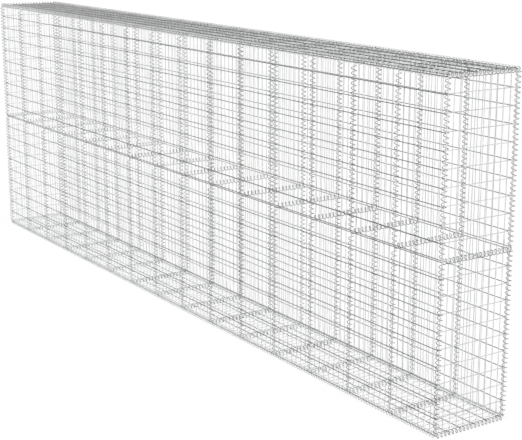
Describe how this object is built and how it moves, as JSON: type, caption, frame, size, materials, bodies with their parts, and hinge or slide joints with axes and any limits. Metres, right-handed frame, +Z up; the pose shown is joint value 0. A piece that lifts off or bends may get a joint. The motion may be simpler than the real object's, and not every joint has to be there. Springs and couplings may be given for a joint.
{
  "type": "empty gabion wall basket",
  "caption": "Long free-standing gabion wall of welded wire mesh, empty: face, end, base and cover panels in two tiers, laced edge to edge with wire spirals.",
  "frame": {"origin": "centre of the footprint, on the floor that the lowest spirals rest on", "axes": "+X along the wall, to the end that is nearer in the picture; +Y from the front mesh to the back mesh; +Z up"},
  "size_m": [6.0318, 0.5328, 2.029],
  "materials": {
    "mesh": "matt galvanised",
    "spiral": "matt galvanised"
  },
  "bodies": {
    "root": {"front_panel_lower_1": "mesh", "front_panel_lower_2": "mesh", "front_panel_lower_3": "mesh", "front_panel_upper_1": "mesh", "front_panel_upper_2": "mesh", "front_panel_upper_3": "mesh", "back_panel_lower_1": "mesh", "back_panel_lower_2": "mesh", "back_panel_lower_3": "mesh", "back_panel_upper_1": "mesh", "back_panel_upper_2": "mesh", "back_panel_upper_3": "mesh", "base_panel_1": "mesh", "base_panel_2": "mesh", "base_panel_3": "mesh", "cover_panel_1": "mesh", "cover_panel_2": "mesh", "cover_panel_3": "mesh", "end_panel_left": "mesh", "end_panel_right": "mesh", "front_upright_wires": "mesh", "back_upright_wires": "mesh", "end_upright_wires": "mesh", "base_cross_wires": "mesh", "cover_cross_wires": "mesh", "corner_spirals_front_left": "spiral", "corner_spirals_front_right": "spiral", "corner_spirals_back_left": "spiral", "corner_spirals_back_right": "spiral", "end_spirals_left": "spiral", "end_spirals_right": "spiral"}
  },
  "joints": []
}
